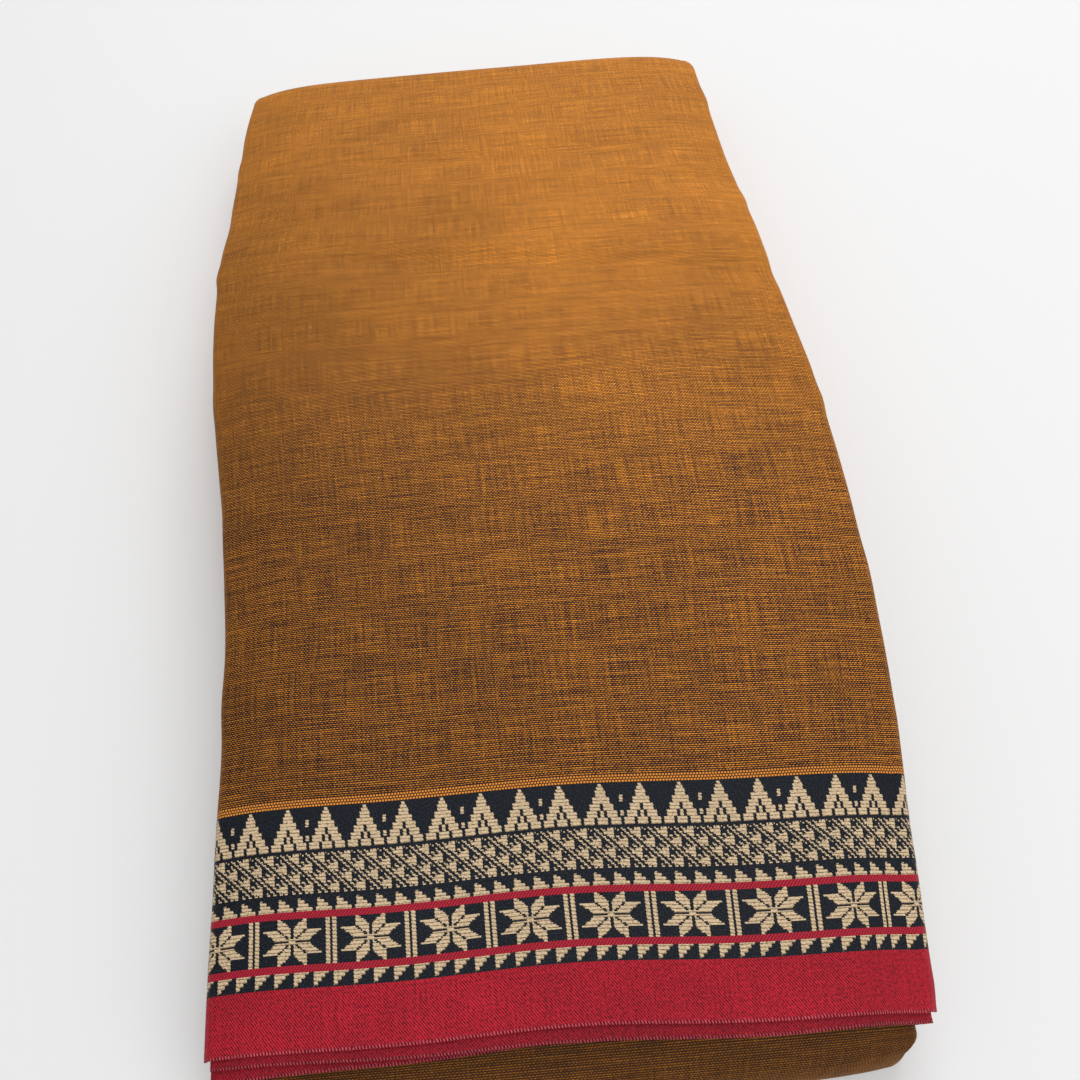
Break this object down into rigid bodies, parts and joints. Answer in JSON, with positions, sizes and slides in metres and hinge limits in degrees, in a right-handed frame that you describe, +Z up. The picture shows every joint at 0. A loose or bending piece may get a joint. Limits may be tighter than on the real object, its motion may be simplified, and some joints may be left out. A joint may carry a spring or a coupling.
{
  "type": "folded saree",
  "caption": "Cotton saree folded into a flat pack: mustard ground, crimson selvedge, broad woven border of sawteeth, stars, lattice and temple points",
  "frame": {"origin": "centre of the pack's footprint, on the floor that it lies on", "axes": "+Z up; +Y along the pack, from the selvedges at the near end to the far fold; +X across the pack, to the right as seen from the near end"},
  "size_m": [0.2092, 0.407, 0.044],
  "materials": {
    "ground": "plain-woven cotton, mustard weft on a dark warp, matt with a soft sheen",
    "border": "figured cotton weave, black ground with cream and red motifs, matt",
    "selvedge": "firm crimson cotton selvedge, matt"
  },
  "bodies": {
    "root": {"front_selvedge": "selvedge", "front_border": "border", "front_field": "ground", "underside": "ground", "near_fold": "ground", "folded_core": "ground", "selvedge_layer_2": "selvedge", "selvedge_layer_3": "selvedge", "selvedge_layer_4": "selvedge", "selvedge_layer_5": "selvedge", "selvedge_layer_6": "selvedge"}
  },
  "joints": []
}
